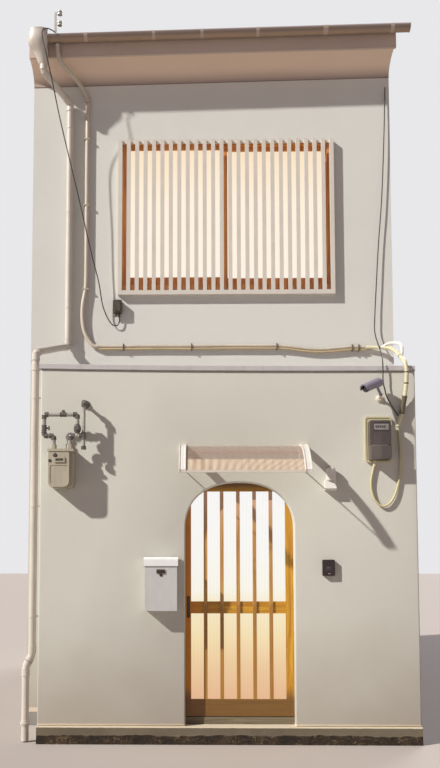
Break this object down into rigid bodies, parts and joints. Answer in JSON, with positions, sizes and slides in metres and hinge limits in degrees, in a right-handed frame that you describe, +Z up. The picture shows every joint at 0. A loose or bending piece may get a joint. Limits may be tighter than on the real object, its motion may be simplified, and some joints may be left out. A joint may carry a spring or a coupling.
{
  "type": "machiya townhouse",
  "caption": "Narrow two-storey row house: white rendered street wall with an arched doorway and lattice sliding door, set-back upper storey with a lattice window and a plaster cove eave.",
  "frame": {"origin": "centre of the footprint on the ground, on the underside of the raft", "axes": "+Z up, +X to the right along the street as seen from it, +Y into the house"},
  "size_m": [3.4378, 6.9502, 7.8024],
  "materials": {
    "concrete": "rough",
    "kerb_stone": "rough",
    "street_render": "fine trowelled",
    "upper_render": "fine trowelled",
    "cove_plaster": "fine trowelled",
    "party_render": "plain trowelled",
    "ledge_metal": "satin",
    "beam_wood": "oiled",
    "floor_wood": "satin",
    "fascia_paint": "painted satin",
    "roof_tile": "smoked matt",
    "gutter_plastic": "satin",
    "pipe_plastic": "satin",
    "window_wood": "varnished",
    "window_glass": "obscured",
    "lattice_paint": "painted satin",
    "door_wood": "varnished",
    "door_glass": "reeded",
    "dark_bronze": "dark patina",
    "sill_wood": "worn",
    "white_plastic": "gloss",
    "bright_aluminium": "anodised",
    "canopy_sheet": "translucent",
    "mailbox_paint": "satin",
    "black_plastic": "satin",
    "cream_plastic": "satin",
    "meter_grey": "satin",
    "gas_meter_paint": "satin",
    "pipe_zinc": "galvanised",
    "galvanised_strap": "galvanised",
    "cable_tan": "satin"
  },
  "bodies": {
    "house": {"foundation": "concrete", "porch_foundation": "concrete", "front_kerb": "kerb_stone", "street_wall_left": "street_render", "street_wall_right": "street_render", "street_wall_arch": "street_render", "ledge_roof": "ledge_metal", "recess_return": "street_render", "recess_wall": "street_render", "ledge_beam": "beam_wood", "upper_wall": "upper_render", "party_wall_left": "party_render", "party_wall_right": "party_render", "rear_wall_lower": "party_render", "rear_wall_upper": "party_render", "ground_floor": "concrete", "upper_floor": "floor_wood", "eave_coves": "cove_plaster", "eave_fascias": "fascia_paint", "roof_front": "roof_tile", "roof_rear": "roof_tile", "roof_ridge": "roof_tile", "gutters": "gutter_plastic", "rain_hopper": "pipe_plastic", "downpipe_upper": "pipe_plastic", "downpipe_lower": "pipe_plastic", "window_frame": "window_wood", "window_sashes": "window_wood", "window_glass": "window_glass", "window_lattice": "lattice_paint", "lattice_case": "lattice_paint", "rear_window_frames": "window_wood", "rear_window_glass": "window_glass", "door_sill": "sill_wood", "door_head": "sill_wood", "canopy_brackets": "white_plastic", "canopy_rails": "bright_aluminium", "canopy_sheet": "canopy_sheet", "mailbox_body": "mailbox_paint", "intercom": "black_plastic", "sensor_lamp": "white_plastic", "security_camera": "white_plastic", "meter_board": "cream_plastic", "electric_meter": "meter_grey", "meter_cable": "cream_plastic", "meter_conduit": "cream_plastic", "gas_meter": "gas_meter_paint", "gas_pipes": "pipe_zinc", "wall_conduit": "cream_plastic", "cable_run": "cable_tan", "junction_box": "black_plastic", "drop_wires": "black_plastic", "service_bracket": "galvanised_strap"},
    "door": {"door_frame": "door_wood", "door_bars": "door_wood", "door_glass": "door_glass", "door_pull": "dark_bronze"},
    "mailbox_lid": {"mailbox_lid": "mailbox_paint"}
  },
  "joints": [
    {"name": "door_slide", "type": "slide", "parent": "house", "child": "door", "axis": [1, 0, 0], "range_m": [0, 0.79]},
    {"name": "mailbox_lid_hinge", "type": "hinge", "parent": "house", "child": "mailbox_lid", "pos_m": [-0.426, -3.101, 1.488], "axis": [-1, 0, 0], "range_deg": [0, 75]}
  ]
}
